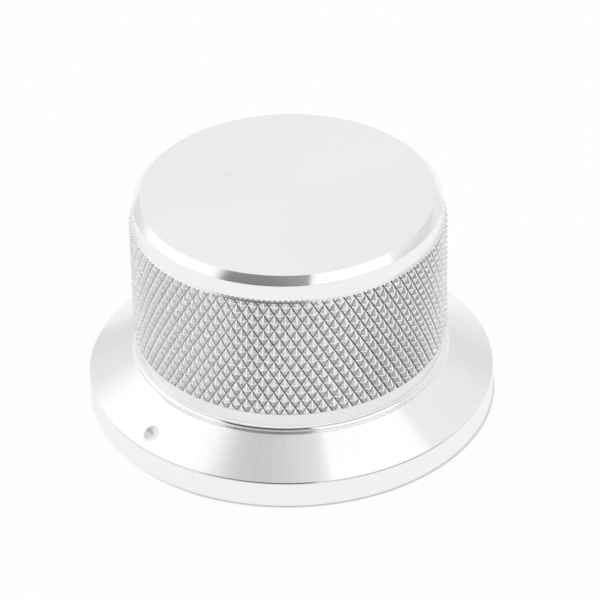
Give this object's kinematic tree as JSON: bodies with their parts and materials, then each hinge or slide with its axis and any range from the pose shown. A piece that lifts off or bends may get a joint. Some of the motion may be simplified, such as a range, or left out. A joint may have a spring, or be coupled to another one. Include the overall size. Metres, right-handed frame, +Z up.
{
  "type": "potentiometer knob",
  "caption": "Turned aluminium control knob with a diamond-knurled barrel on a wide conical skirt, a pointer dimple, a blind shaft bore and a set screw.",
  "frame": {"origin": "middle of the underside, on the plane that the rim stands on", "axes": "+Z up along the axis of the shaft bore, towards the top face; the pointer dimple faces -Y and the set screw's hole opens towards +Y"},
  "size_m": [0.044, 0.044, 0.025],
  "materials": {
    "turned_aluminium": "bare fine-turned aluminium, bright on the edges and the cone, sharp diamond knurl",
    "screw_steel": "black oxide on hardened steel"
  },
  "bodies": {
    "root": {"knob": "turned_aluminium", "set_screw": "screw_steel"}
  },
  "joints": []
}
